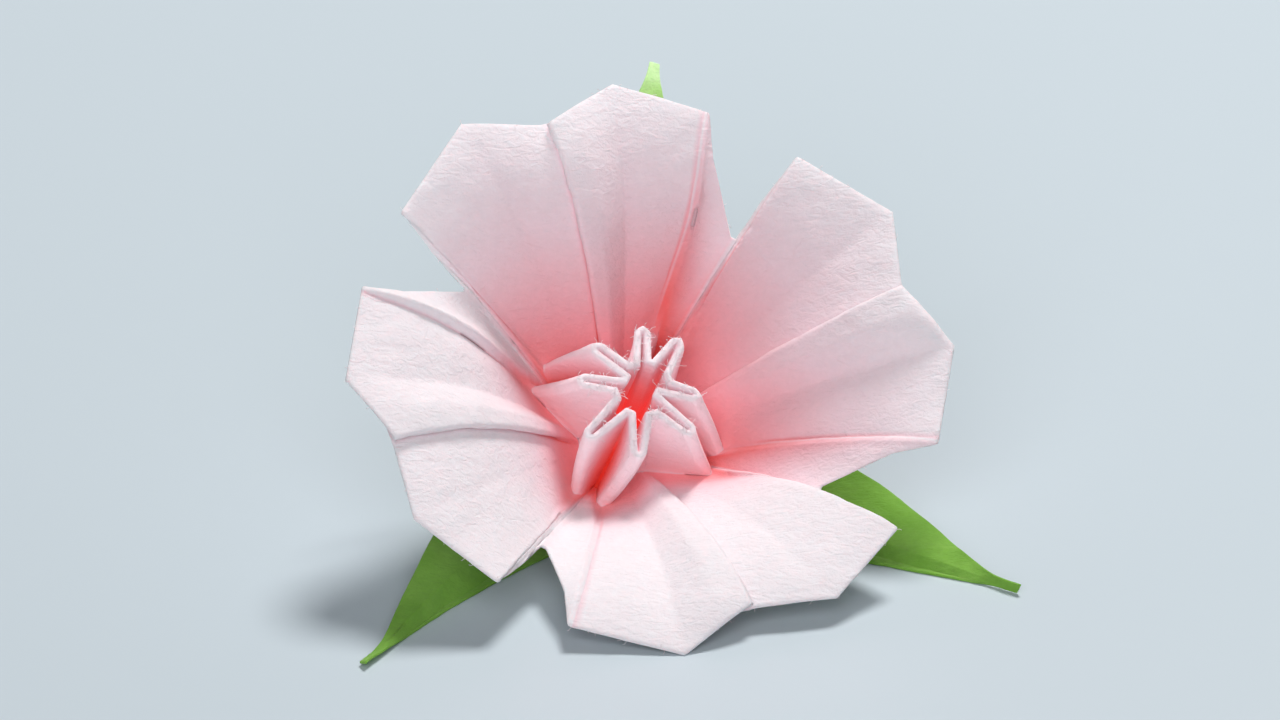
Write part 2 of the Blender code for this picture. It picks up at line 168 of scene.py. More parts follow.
HAND_REACH = (0.2, 0.0, -0.2, -0.5, 1.0, 0.6, 0.1, -0.9)
HAND_POCKET = (0.4, 0.0, 0.3, 0.6)
HAND_VALLEY = (0.0, -1.1, 0.3, -1.2)
STAR_SHIFT = (0.4, 0.2)

# The fine mesh: sub-steps of each gap between stations, first gap after the notch
GAP_STEPS = (5, 11, 9, 9, 2, 2, 6, 6, 3, 4, 4, 5, 2, 2, 9, 9, 8, 6, 3, 3, 3)
FOLDED = (0, 1, 4, 5, 6, 8, 9, 12, 13, 14, 18, 19, 20)
HAIRPINS = {18: (17, 18, 19, 20), 20: (19, 20, 21, 22)}
HAIRPIN_PUSH = 0.25     # how far a turned edge of the pleat is rounded out
SUPPORT = 0.13          # millimetres from a fold to its first support point
FOLD_SOFTNESS = 0.35    # how far a fold moves in between its support points
THROAT_ROWS = 10
CREST_ROWS = 6
WALL_ROWS = 15
PETAL_STEPS = (3, 3, 3, 3, 3, 6, 7, 7, 7, 7, 6, 4, 3)
LEAF_LEVELS = 3
CREST_ROUND = 0.2       # height of the star's rounded top edge
EDGE_ROUND = 0.55       # how far a cut edge bulges, of half the sheet
STEEPEST = 0.05         # shortest level run that a slope is worked out from
SHIFT_STEADINESS = 0.05     # holds back the offset where folds meet
SHIFT_LIMIT = 1.3
TINY = 1e-6

# Relief of the sheets: size of the waves, their height and their seed
BROAD_WAVES = (7.0, 0.16, 3)
LONG_WAVES = ((3.2, 1.9, 1.9), 0.07, 5)
FINE_WAVES = ((2.0, 1.0, 1.0), 0.028, 8)
PINK_GRAIN = (0.6, 0.012, 11)
LEAF_WAVES = (5.0, 0.14, 21)
LEAF_FINE_WAVES = (1.3, 0.05, 23)
GREEN_GRAIN = (0.5, 0.014, 31)
OPEN_RADII = (10.0, 17.0)   # the broad waves grow from none to full between these
GROOVE_DEPTH = 0.08     # of the line beside a side fold
GROOVES = ((5.80, 6.08), (13.93, 14.12))    # its stations
GROOVE_SPAN = (0.1, 0.2)    # share of the petal where it starts, and its run
TABLE_GAP = 0.02        # millimetres the blossom's corners stay above the table
LEAF_TABLE_GAP = 0.01

# Loose hairs of the felt-like paper: rise, count, reach and seed of each kind
CREST_FIBRES = (0.7, 420, 1.5, 51)
EDGE_FIBRES = (0.0, 160, 0.8, 53)
FIBRE_RADIUS = 0.03
FIBRE_STEPS = 5
FIBRE_CURL = 0.45
FIBRE_SCATTER = 0.7
FIBRE_SHORTEST = 0.4    # of the reach

# Tints, 0 for the palest and 1 for the reddest paper. A petal has the tint at
# its foot and how fast it fades, a deeper share and its reach, and what the
# strip beside the valley has more. Much of the tint is painted shade: the first
# two petals, which the key lamp lights less, are tinted strongly and far out,
# while the lit other two keep a deeper share of painted shade by the star.
PETAL_TINTS_AND_SHADE = ((0.73, 1.35, 0.0, 0.17, 0.14), (0.72, 1.35, 0.0, 0.17, 0.20),
               (0.46, 6.5, 0.50, 0.27, 0.0), (0.50, 6.5, 0.42, 0.22, 0.0))
STRIP_BAND = (8.6, 13.2)    # stations of that strip
VALLEY = 8.5            # station in the middle of the valley
VALLEY_REACH = 3.0      # stations over which the valley's painted shade fades
VALLEY_SHADE_LINE = (0.22, 1.2, 0.6)      # tint, reach and loss to the rim of the painted shade line along the valley
# how fast the valley's painted shade grows down the star's walls
VALLEY_SHADE_FADE = 0.4
PLEAT_BAND = 1.3        # last station that the pleat shades
PLEAT_SHADE = 0.20
PLEAT_SPREAD = 0.45
PLEAT_EDGE = 0.72       # station of the pleat's edge over the lip
PLEAT_WIDTHS = (3.3, 7.0)   # millimetres from station 0 to 1 and 1 to 2
THROAT_TINT_AND_SHADE = 0.26      # at the star's top, rising as painted shade to 1 at the throat floor
THROAT_SHADE_FADE = 0.6
CREST_TINT = (0.05, 0.25)   # of the star's top edge, and more on its inner side
WALL_TINT_AND_SHADE = (0.17, 0.22, 0.95)      # at the top, more at the foot, more in the valley; the added tint is painted shade
FOOT_SHADE_TINT = (0.60, 0.34)    # painted shade at the petals' foot, and more in the valley
FOOT_SHADE_SHARE = 0.16
# painted shade in the groove beside a side fold
GROOVE_SHADE_TINT = 0.2
EDGE_TINT = 0.5         # of the cut edge, as a share of the sheet's tint
FIBRE_TINT = 0.08
BACK_TINT = 0.42        # the outside of the throat is no redder than this
LEAF_TINT_AND_LIGHT = (0.35, 0.5)     # of the leaves, and paler on the raised tip as painted light
LEAF_CLOUDS = (6.0, 0.25, 41)
LEAF_LIGHT_HEIGHTS = (22.0, 30.0)   # the raised tip is painted paler between these heights, as painted light

# Painted glow, emission for light coming through the thin paper, as a share of its colour
THROAT_GLOW = (0.06, 0.22)  # at the star's top and at the throat floor
CREST_GLOW = 0.07
WALL_GLOW = 0.16
FOOT_GLOW = 0.05
FOOT_GLOW_SHARE = 0.1
BACK_LIGHT = (0.02, 0.08, 0.0, 0.0)     # painted glow at the rims of the petals
BACK_GLOW = 0.1         # of the sheet's back, as a share of its front
LEAF_GLOW = (0.02, 0.30)    # of the leaves, and more on the raised tip

PINK_RAMP = (
    (0.0, (0.940, 0.855, 0.890, 1.0)),
    (0.25, (0.945, 0.700, 0.755, 1.0)),
    (0.5, (0.955, 0.440, 0.490, 1.0)),
    (0.75, (0.965, 0.220, 0.220, 1.0)),
    (1.0, (0.980, 0.070, 0.045, 1.0)),
)
GREEN_RAMP = (
    (0.0, (0.120, 0.300, 0.025, 1.0)),
    (0.6, (0.265, 0.520, 0.090, 1.0)),
    (1.0, (0.700, 0.950, 0.520, 1.0)),
)
PINK_VALUES = {"relief": 0.085, "mottle": 0.03, "sheen": 0.15, "scatter": 0.4,
               "depth": (1.0, 0.60, 0.60), "reach": 0.4}
GREEN_VALUES = {"relief": 0.05, "mottle": 0.09, "sheen": 0.1, "scatter": 0.3,
                "depth": (0.6, 1.0, 0.25), "reach": 0.35}
BROAD_RELIEF = 2.4      # weight of the broad fibres beside the fine ones

# Place in the frame: from the flower's own origin to the solid's, millimetres
MOVE = Vector((-3.4442, -10.2568, -0.0006))

# Studio, in metres and watts: name, place, size, power and colour of each lamp
LAMPS = (
    ("key", (0.15, 0.40, 0.75), 0.26, 6.1, (1.0, 0.975, 0.96)),
    ("front", (-0.15, -1.30, 0.95), 1.4, 13.3, (0.99, 0.985, 1.0)),
)
LAMP_TARGET = (0.0, 0.0, 0.015)
SKY = ((0.93, 0.965, 1.0, 1.0), 0.12)
FLOOR_COLOUR = (0.575, 0.660, 0.713, 1.0)
FLOOR_HALF = 6.0

VIEW_ELEVATION = 27.39      # of the camera above the table
VIEW_DISTANCE = 1.5         # metres, a long lens
VIEW_WIDTH = 128.0          # millimetres across the frame at the rim's centre
VIEW_SHIFT = (-0.913, 0.322)    # millimetres right and up from the rim's centre
VIEW_LIMIT = 30.0
SENSOR_WIDTH = 36.0


def polar(radius, angle, height):
    """Point of the flower frame from a radius, an angle and a height."""
    turn = math.radians(angle)
    return Vector((radius * math.cos(turn), radius * math.sin(turn), height))


def mix(a, b, share):
    """Straight blend of two numbers or vectors."""
    return a + (b - a) * share


def ease(value):
    """Smooth step from 0 to 1."""
    value = min(1.0, max(0.0, value))
    return value * value * (3.0 - 2.0 * value)


def beyond(value, span):
    """Smooth step that starts at the first number and runs over the second."""
    return ease((value - span[0]) / span[1])


def beside(point, angle, offset):
    """Move a point sideways about the axis by a distance in millimetres."""
    turn = math.radians(angle)
    side = Vector((-math.sin(turn), math.cos(turn), 0.0))
    return point + side * offset


def arm_stations(pocket, valley, level):
    """Nine stations from the pocket over one star arm to the valley.

    level holds the tip radius, angle and height, the half width of the arm
    end, how far that end bulges, the spacing at the pocket, and which way
    round the flower the arm is passed.
    """
    tip_r, tip_angle, tip_z, half_width, bulge, bunch, base, way = level
    tip = polar(tip_r, tip_angle, tip_z)
    near = beside(tip, tip_angle, -way * half_width)
    far = beside(tip, tip_angle, way * half_width)
    middle = polar(tip_r + bulge, tip_angle, tip_z)
    start = beside(pocket, base, way * 2.5 * bunch)
    return [
        beside(pocket, base, way * 1.5 * bunch),
        start,
        mix(start, near, ARM_SHARES[0]),
        mix(start, near, ARM_SHARES[1]),
        near,
        middle,
        far,
        mix(far, valley, 0.5),
        valley,
    ]


def star_ring(pockets, tips, valley, half_width, bulge, bunch):
    """One level of a sector: 21 stations from one petal axis to the next.

    pockets, tips and valley are pairs or one of (radius, height, angle).
    """
    full = 360.0 / PETALS
    valley_point = polar(valley[0], valley[2], valley[1])
    rows = []
    for base, way, pocket, tip in ((0.0, 1.0, pockets[0], tips[0]),
                                   (full, -1.0, pockets[1], tips[1])):
        pocket_point = polar(pocket[0], base + pocket[2], pocket[1])
        bend = beside(valley_point, valley[2], -way * TRENCH_WIDTH * 0.5)
        level = (tip[0], tip[2], tip[1], half_width, bulge, bunch, base, way)
        rows.append(arm_stations(pocket_point, bend, level))
    first, second = rows
    far, bend = second[6], second[8]
    last = polar(pockets[1][0], full + pockets[1][2], pockets[1][1])
    ring = list(first)
    ring.append(bend)
    ring.append(mix(bend, far, STRIP_SHARES[0]))
    ring.append(mix(bend, far, STRIP_SHARES[1]))
    ring.extend(second[6:0:-1])
    ring.append(beside(last, full, -1.5 * bunch))
    ring.append(beside(last, full, -0.5 * bunch))
    ring.append(beside(last, full, 0.5 * bunch))
    return ring


def assemble(maker):
    """Whole ring round the flower from one ring per sector."""
    ring = []
    for sector in range(PETALS):
        turn = math.radians(sector * 360.0 / PETALS)
        cos, sin = math.cos(turn), math.sin(turn)
        for point in maker(sector):
            x = point.x * cos - point.y * sin
            y = point.x * sin + point.y * cos
            ring.append(Vector((x, y, point.z)))
    return ring


def crest_sector(sector):
    """Middle line of the star's doubled wall at its top edge."""
    half = 180.0 / PETALS
    after = (sector + 1) % PETALS
    pockets = [(STAR_POCKET_RADIUS + HAND_POCKET[petal], -STAR_DROP, 0.0)
               for petal in (sector, after)]
    tips = []
    for arm, way in ((2 * sector, 1.0), (2 * sector + 1, -1.0)):
        angle = half - way * TIP_ANGLE + HAND_TURN[arm]
        tips.append((TIP_RADIUS + HAND_REACH[arm], -TIP_DROP, angle))
    turn = 0.5 * (HAND_TURN[2 * sector] + HAND_TURN[2 * sector + 1])
    valley = (STAR_VALLEY_RADIUS + HAND_VALLEY[sector], -STAR_DROP, half + turn)
    half_width = 0.5 * (SLIT + SHEET + PLEAT_PITCH)
    return star_ring(pockets, tips, valley, half_width, TIP_BULGE,
                     CREST_BUNCH)


def crest_ring():
    """Top edge of the star with its small hand-made offset."""
    shift = Vector((STAR_SHIFT[0], STAR_SHIFT[1], 0.0))
    return [point + shift for point in assemble(crest_sector)]


def beside_ring(ring, distance):
    """Ring moved sideways in plan, outwards for a positive distance."""
    count = len(ring)
    moved = []
    for k in range(count):
        step_a = ring[k] - ring[k - 1]
        step_b = ring[(k + 1) % count] - ring[k]
        out_a = Vector((step_a.y, -step_a.x, 0.0)).normalized()
        out_b = Vector((step_b.y, -step_b.x, 0.0)).normalized()
        miter = (out_a + out_b) / max(CORNER_LIMIT, 1.0 + out_a.dot(out_b))
        moved.append(ring[k] + miter * distance)
    for k in range(count):
        if k % STATIONS == STATIONS - 4:
            start = moved[k]
            end = moved[(k + 5) % count]
            for step in range(1, 5):
                moved[(k + step) % count] = mix(start, end, step / 5.0)
    return moved


def wall_power(station):
    """How late a wall turns sideways: the arms' outer folds run straight."""
    return mix(ARM_POWER, WALL_POWER, WALL_BLEND.get(station, 1.0))


def swing(p, q, share):
    """Blend two points in plan by radius and by angle."""
    radius = mix(math.hypot(p.x, p.y), math.hypot(q.x, q.y), share)
    start = math.degrees(math.atan2(p.y, p.x))
    turn = math.degrees(math.atan2(q.y, q.x)) - start
    turn = (turn + 180.0) % 360.0 - 180.0
    return polar(radius, start + turn * share, 0.0)


def bend_between(a, b, share, power):
    """Blend two rings, sideways at another pace than down."""
    ring = []
    for p, q in zip(a, b):
        point = mix(p, q, share ** power)
        point.z = mix(p.z, q.z, share)
        ring.append(point)
    return ring


def floor_sector(sector):
    """Bottom of the throat, where all the folds run together."""
    half = 180.0 / PETALS
    pocket = (THROAT_RADIUS, -THROAT_DROP, 0.0)
    tips = []
    for way in (1.0, -1.0):
        angle = half - way * FLOOR_ANGLE
        tips.append((THROAT_RADIUS + FLOOR_REACH, -THROAT_DROP, angle))
    return star_ring(
        (pocket, pocket), tips, (THROAT_RADIUS, -THROAT_DROP, half),
        0.5 * (SLIT + SHEET), FLOOR_BULGE, FLOOR_BUNCH)


def base_sector(sector):
    """Where the star's outer walls turn out into the petals."""
    half = 180.0 / PETALS
    pocket = (POCKET_RADIUS, -POCKET_DROP, 0.0)
    feet = []
    for way in (1.0, -1.0):
        feet.append((FOOT_RADIUS, -FOOT_DROP, half - way * FOOT_ANGLE))
    return star_ring(
        (pocket, pocket), feet, (VALLEY_RADIUS, -VALLEY_DROP, half),
        HEM_WIDTH, FOOT_BULGE, FOOT_BUNCH)


def rim_corner(side, way, full):
    """Notch, near and far corner of one petal side, and the strip direction."""
    base = 0.0 if way > 0.0 else full
    notch = polar(NOTCH_RADIUS, base, 0.0)
    near_angle = NEAR_ANGLE + HAND_NEAR_TURN[side]
    near = polar(NEAR_RADIUS + HAND_NEAR_REACH[side], base + way * near_angle,
                 -NEAR_SINK * FAR_DROP)
    far_angle = FAR_ANGLE + HAND_FAR_TURN[side]
    far = polar(FAR_RADIUS + HAND_FAR_REACH[side], base + way * far_angle, -FAR_DROP)
    return notch, near, far


def rim_slant(side, full):
    """How much the rim runs outward per millimetre sideways from its notch."""
    notch, near, far = rim_corner(side, 1.0, full)
    return (near.x - notch.x) / near.y


def valley_end(sector, way, full):
    """Outer end of the valley as (radius, angle, drop), seen from one petal."""
    angle = SIDE_ANGLE + HAND_SIDE_TURN[sector]
    if way < 0.0:
        angle = full - angle
    return SIDE_RADIUS + HAND_SIDE_REACH[sector], angle, SIDE_DROP


def rim_ring(sector):
    """The 21 rim points of one sector, pleat offsets left out."""
    full = 360.0 / PETALS
    half = 0.5 * full
    radius, angle, drop = valley_end(sector, 1.0, full)
    end = polar(radius, angle, -drop)
    trench_a = beside(end, half, -TRENCH_WIDTH * 0.5)
    trench_b = beside(end, half, TRENCH_WIDTH * 0.5)
    notch, near, far = rim_corner(2 * sector, 1.0, full)
    inward = (near - far).normalized()
    under = (end - far).normalized()
    ring = [
        notch,
        beside(notch, 0.0, 2.0 * HEM_WIDTH),
        near,
        mix(near, far, 0.5),
        far + inward * HEM_WIDTH,
        far,
        far + under * HEM_WIDTH,
        mix(far, end, NARROW_EDGE) + Vector((0.0, 0.0, -NARROW_SAG)),
        trench_a,
        trench_b,
    ]
    notch, near, far = rim_corner(2 * sector + 1, -1.0, full)
    radius, angle, drop = valley_end(sector, -1.0, full)
    far_radius = math.hypot(far.x, far.y)
    far_angle = full - math.degrees(math.atan2(far.y, far.x))
    strip = []
    for part in STRIP_EDGE:
        strip.append(polar(mix(far_radius, radius, part[0]),
                           full - mix(far_angle, angle, part[1]),
                           -mix(FAR_DROP, drop, part[2])))
    inward = (near - far).normalized()
    under = (strip[0] - far).normalized()
    ring.extend([
        strip[1],
        strip[0],
        far + under * HEM_WIDTH,
        far,
        far + inward * HEM_WIDTH,
        mix(near, far, 0.5),
        near,
        beside(notch, full, -PLEAT_OVERLAP - PLEAT_LIP),
        notch,
        notch,
        notch,
    ])
    return ring


def pleat_offset(station, share):
    """Sideways and upward offset of the pleat's stations at one ring.

    The sheet is flat at the star, then steps up as a small wall, and then
    lies in three layers that widen towards the rim.
    """
    pitch = PLEAT_PITCH
    order = {18: 0, 19: 1, 20: 2, 0: 3}
    level = 1.0 - 2.0 * order[station] / 3.0
    flat = (FOOT_BUNCH * (order[station] - 1.5), 0.0)
    wall = (0.0, level * pitch)
    widened = max(0.0, share - WIDEN_SHARE) / (1.0 - WIDEN_SHARE)
    width = mix(PLEAT_START, PLEAT_OVERLAP, widened)
    folded = {
        18: (0.0, pitch),
        19: (0.0, 0.0),
        20: (-width, 0.0),
        0: (-width, -pitch),
    }[station]
    if share <= WALL_SHARE:
        part = share / WALL_SHARE
        return mix(flat[0], wall[0], part), mix(flat[1], wall[1], part)
    part = ease((share - WALL_SHARE) / (FOLD_SHARE - WALL_SHARE))
    return mix(wall[0], folded[0], part), mix(wall[1], folded[1], part)


def station_bell(station, sector, share):
    """Bell exponent of one station of a sector."""
    after = (sector + 1) % PETALS
    first = station < 8
    centre = BELL + HAND_FLARE[sector if first else after]
    side = HAND_SIDE_BELL[2 * sector + (0 if first else 1)]
    if station in (7, 8, 9, 10, 11):
        return VALLEY_BELL
    power = mix(centre, side, SIDE_SHARE.get(station, 0.0))
    if station in SIDE_SHARE:
        power = mix(min(power, FOOT_BELL), power, ease(share / FOLD_SHARE))
    return power


def petal_ring(share, sector):
    """Ring of the petals, share 0 at the star's base to 1 at the rim."""
    start = base_sector(sector)
    rim = rim_ring(sector)
    full = 360.0 / PETALS
    centre_a = polar(POCKET_RADIUS, 0.0, -POCKET_DROP)
    centre_b = polar(POCKET_RADIUS, full, -POCKET_DROP)
    ring = []
    for station in range(STATIONS):
        power = station_bell(station, sector, share)
        bell = 1.0 - (1.0 - share) ** power
        in_pleat = station in (18, 19, 20, 0)
        a = start[station]
        if in_pleat:
            a = centre_a if station == 0 else centre_b
        b = rim[station]
        point = mix(a, b, share)
        point.z = mix(a.z, b.z, bell)
        angle = 0.0 if station < 2 else full
        steep = power * (1.0 - share) ** (power - 1.0)
        slope = math.atan2(steep * (b.z - a.z), math.hypot(b.x, b.y) - POCKET_RADIUS)
        up = polar(-math.sin(slope), angle, math.cos(slope))
        if in_pleat:
            offset = pleat_offset(station, share)
            point = beside(point, angle, offset[0]) + up * offset[1]
        if station in (1, 17):
            lift = PLEAT_PITCH * ease(share / WALL_SHARE)
            point += up * (lift if station == 17 else -lift)
            side = 2.0 * HEM_WIDTH if station == 1 else PLEAT_OVERLAP + PLEAT_LIP
            reach = side * rim_slant(2 * sector + (0 if station == 1 else 1), full)
            out = polar(math.cos(slope), angle, math.sin(slope))
            point += out * reach * ease((share - LIP_SHARE) / (1.0 - LIP_SHARE))
        side = 2 * sector + (0 if station < 8 else 1)
        if station in (3, 4, 5, 6, 12, 13, 14, 15):
            way = 1.0 if station < 8 else -1.0
            bow = HAND_BOW[side] * math.sin(math.pi * share) ** 2
            point = beside(point, 0.5 * full, way * bow)
        if station in STEP_SHARE:
            rise = HAND_STEP[side] * ease((share - STEP_START) / STEP_RUN)
            rise *= math.sin(math.pi * share) ** STEP_FADE
            point.z += STEP_SHARE[station] * rise
        ring.append(point)
    for station, (low, high, part) in STRETCHED.items():
        at_rim = rim[station] - mix(rim[low], rim[high], part)
        at_star = start[station] - mix(start[low], start[high], part)
        ring[station] = (mix(ring[low], ring[high], part) + at_rim * share ** 3
                         + at_star * (1.0 - share))
    return ring


def leaf_side(across, run, limits, hub_half, bows):
    """Sideways place on a leaf, across being -1 and 1 at its edges.

    limits holds the end of the hub and the start of the narrow tip, and bows
    how far the one edge, the centre crease and the other edge bow out.
    """
    hub_run, neck_run = limits
    if run <= hub_run:
        return across * hub_half * run / hub_run
    part = min(1.0, (run - hub_run) / (neck_run - hub_run))
    bulge = math.sin(math.pi * part)
    half = mix(hub_half, 0.5 * LEAF_TIP_WIDTH, part)
    edge = half + (bows[0] if across > 0.0 else bows[2]) * bulge
    way = 1.0 if across > 0.0 else -1.0
    return mix(bows[1] * bulge, way * edge, abs(across))


def leaf_grid(index):
    """Rows of nine points of one leaf, from the hub's centre to the tip."""
    angle = LEAF_ANGLES[index]
    gap_left = (LEAF_ANGLES[(index + 1) % 3] - angle) % 360.0 * 0.5
    gap_right = (angle - LEAF_ANGLES[index - 1]) % 360.0 * 0.5
    length = LEAF_LENGTHS[index]
    hub_z = -THROAT_DROP - HUB_SEAT - SHEET - PIECE_GAP
    rise = -LEAF_TIP_DROPS[index] - hub_z
    hub_level = HUB_REACH * HUB_RADIUS
    limits = (hub_level, length - LEAF_NECKS[index])
    levels = [share * hub_level for share in HUB_SHARES]
    levels += [mix(hub_level, length, share) for share in LEAF_SHARES]
    turn = math.radians(angle)
    grid = []
    for row, level in enumerate(levels):
        line = []
        for step in range(-4, 5):
            across = step / 4.0
            gap = math.radians(gap_left if across > 0.0 else gap_right)
            reach = HUB_RADIUS * math.cos(gap)
            hub_half = HUB_RADIUS * math.sin(gap)
            if row < len(HUB_SHARES):
                run = mix(level, reach * level / hub_level, abs(across))
            else:
                blend = (level - hub_level) / (length - hub_level)
                run = level + (reach - hub_level) * abs(across) * (1.0 - blend) ** 4
            along = max(0.0, run - HUB_FLAT) / (length - HUB_FLAT)
            body = (ease(level / HUB_RADIUS - LEAF_RIDGE_START)
                    * (1.0 - beyond(level / length, LEAF_RIDGE_END)))
            z = hub_z + rise * along ** LEAF_CURVE
            z += LEAF_RIDGE * body * (LEAF_RIDGE_LEVEL - abs(across))
            side = leaf_side(across, level, limits, hub_half, LEAF_BOWS[index])
            twist = math.radians(LEAF_TWISTS[index]) * beyond(level / length, LEAF_WINDING)
            lift = side * math.sin(twist)
            side *= math.cos(twist)
            x = run * math.cos(turn) - side * math.sin(turn)
            y = run * math.sin(turn) + side * math.cos(turn)
            line.append(Vector((x, y, z + lift)))
        grid.append(line)
    return grid


def place_key(point):
    """Rounded place by which two leaves find the points that they share."""
    return round(point.x, 3), round(point.y, 3)


def leaf_surface(grids):
    """Middle surface of the green sheet as points and faces."""
    points = []
    faces = []
    seen = {}
    for grid in grids:
        table = []
        for line in grid:
            marks = []
            for point in line:
                key = place_key(point)
                if key not in seen:
                    seen[key] = len(points)
                    points.append(point)
                marks.append(seen[key])
            table.append(marks)
        for a, b in zip(table, table[1:]):
            for k in range(len(a) - 1):
                face = [a[k], b[k], b[k + 1], a[k + 1]]
                short = [v for i, v in enumerate(face) if v not in face[:i]]
                if len(short) > 2:
                    faces.append(tuple(short))
    return points, faces


def lean(point):
    """Turn a point of the flower's own frame to the pose on the table."""
    up = math.radians(AXIS_ELEVATION)
    round_z = math.radians(AXIS_AZIMUTH)
    axis = Vector((math.cos(up) * math.cos(round_z),
                   math.cos(up) * math.sin(round_z), math.sin(up)))
    level = Vector((0.0, 0.0, 1.0)).cross(axis).normalized()
    cross = axis.cross(level)
    spin = math.radians(SPIN)
    side = level * math.cos(spin) + cross * math.sin(spin)
    other = axis.cross(side)
    lifted = side * point.x + other * point.y + axis * point.z
    return lifted + Vector((0.0, 0.0, RIM_HEIGHT))


def fine_shares():
    """Petal shares between the solid's own ones, closest at the foot."""
    shares = []
    low = 0.0
    for high, steps in zip(PETAL_SHARES, PETAL_STEPS):
        shares += [mix(low, high, step / steps) for step in range(1, steps + 1)]
        low = high
    return shares


def wall_ring(outside, base, share):
    """Ring of the star's outer walls, the arms' folds straighter than the walls."""
    ring = []
    for k, (p, q) in enumerate(zip(outside, base)):
        point = swing(p, q, share ** wall_power(k % STATIONS))
        point.z = mix(p.z, q.z, share)
        ring.append(point)
    return ring


def fine_rows():
    """Rings of 84 points from throat floor to rim, each with zone and share."""
    crest = crest_ring()
    inside = beside_ring(crest, -0.5 * PLEAT_PITCH)
    outside = beside_ring(crest, 0.5 * PLEAT_PITCH)
    floor = assemble(floor_sector)
    base = assemble(base_sector)
    rows = []
    for row in range(THROAT_ROWS, -1, -1):
        share = row / THROAT_ROWS
        rows.append(("throat", share, bend_between(inside, floor, share, THROAT_POWER)))
    for row in range(1, CREST_ROWS):
        turn = math.pi * row / CREST_ROWS
        lift = Vector((0.0, 0.0, CREST_ROUND * math.sin(turn)))
        across = 0.5 - 0.5 * math.cos(turn)
        ring = [mix(p, q, across) + lift for p, q in zip(inside, outside)]
        rows.append(("crest", across, ring))
    for row in range(WALL_ROWS + 1):
        share = row / WALL_ROWS
        rows.append(("wall", share, wall_ring(outside, base, share)))
    for share in fine_shares():
        rows.append(("petal", share, assemble(lambda sector: petal_ring(share, sector))))
    return rows


def gap_places(gap, width):
    """Shares of the sub-steps in one gap, with support points at its folds."""
    steps = GAP_STEPS[gap]
    low_fold = gap in FOLDED
    high_fold = (gap + 1) % STATIONS in FOLDED
    near = min(SUPPORT / max(width, TINY), 1.0 / steps)
    low = near if low_fold and steps > 2 else 1.0 / steps
    high = 1.0 - near if high_fold and steps > 2 else 1.0 - 1.0 / steps
    if steps == 2:
        return [0.0, 0.5]
    inner = steps - 2
    return [0.0] + [mix(low, high, step / inner) for step in range(inner + 1)]


def refine_ring(ring):
    """Ring with sub-steps; returns points and their stations, 0 to 84."""
    count = len(ring)
    points = np.array([tuple(p) for p in ring])
    after = np.roll(points, -1, axis=0)
    width = np.linalg.norm(after - points, axis=1)
    flat = np.maximum(np.linalg.norm((after - points)[:, :2], axis=1), STEEPEST)
    slope = (after[:, 2] - points[:, 2]) / flat
    start = slope.copy()
    end = slope.copy()
    for k in range(count):
        if k % STATIONS not in FOLDED:
            both = 0.5 * (slope[k - 1] + slope[k])
            start[k] = both
            end[k - 1] = both
    out = []
    marks = []
    for k in range(count):
        gap = k % STATIONS
        for u in gap_places(gap, width[k]):
            point = points[k] + (after[k] - points[k]) * u
            bend = flat[k] * u * (1.0 - u)
            point[2] += bend * ((start[k] - slope[k]) * (1.0 - u) - (end[k] - slope[k]) * u)
            if gap in HAIRPINS and u > 0.0:
                a, b, c, d = (points[(k - gap + s) % count] for s in HAIRPINS[gap])
                out_a = (b - a) / max(np.linalg.norm(b - a), TINY)
                out_b = (c - d) / max(np.linalg.norm(c - d), TINY)
                push = HAIRPIN_PUSH * (out_a + out_b) * width[k]
                point += push * math.sin(math.pi * u)
            out.append(point)
            marks.append(k + u)
    return np.array(out), np.array(marks)


def soften_folds(points, marks):
    """Round every fold: its own point moves towards its two support points."""
    before = np.roll(points, 1, axis=0)
    after = np.roll(points, -1, axis=0)
    station = np.rint(marks).astype(int)
    at_fold = (np.abs(marks - station) < TINY) & np.isin(station % STATIONS, FOLDED)
    moved = points.copy()
    moved[at_fold] += FOLD_SOFTNESS * (0.5 * (before + after) - points)[at_fold]
    return moved


def fine_grid():
    """Whole refined middle surface with the zone, share and mark of each point."""
    rows = fine_rows()
    levels = []
    zones = []
    shares = []
    for zone, share, ring in rows:
        points, marks = refine_ring(ring)
        levels.append(soften_folds(points, marks))
        zones.append(zone)
        shares.append(share)
    return levels, zones, shares, marks


def grid_faces(rows, columns):
    """Faces of a closed grid of rings round one centre point."""
    faces = []
    for k in range(columns):
        faces.append((0, 1 + k, 1 + (k + 1) % columns))
    for row in range(rows - 1):
        low = 1 + row * columns
        for k in range(columns):
            m = (k + 1) % columns
            faces.append((low + k, low + columns + k, low + columns + m, low + m))
    return faces


def vertex_shifts(points, faces):
    """Direction and size of a unit offset to one side at every point."""
    quads = np.array([f if len(f) == 4 else (f[0], f[1], f[2], f[2]) for f in faces])
    a, b, c, d = (points[quads[:, i]] for i in range(4))
    normals = np.cross(c - a, d - b)
    flat = np.linalg.norm(normals, axis=1, keepdims=True)
    normals /= np.maximum(flat, TINY ** 2)
    count = len(points)
    matrix = np.tile(np.eye(3) * SHIFT_STEADINESS, (count, 1, 1))
    target = np.zeros((count, 3))
    outer = normals[:, :, None] * normals[:, None, :]
    for i in range(4):
        np.add.at(matrix, quads[:, i], outer)
        np.add.at(target, quads[:, i], normals)
    shifts = np.linalg.solve(matrix, target[:, :, None])[:, :, 0]
    size = np.linalg.norm(shifts, axis=1, keepdims=True)
    return shifts * np.minimum(1.0, SHIFT_LIMIT / np.maximum(size, TINY))


def boundary_edges(faces):
    """Directed edges that have no face on their other side."""
    seen = set()
    for face in faces:
        for a, b in zip(face, face[1:] + face[:1]):
            seen.add((a, b))
    return [(a, b) for a, b in seen if (b, a) not in seen]


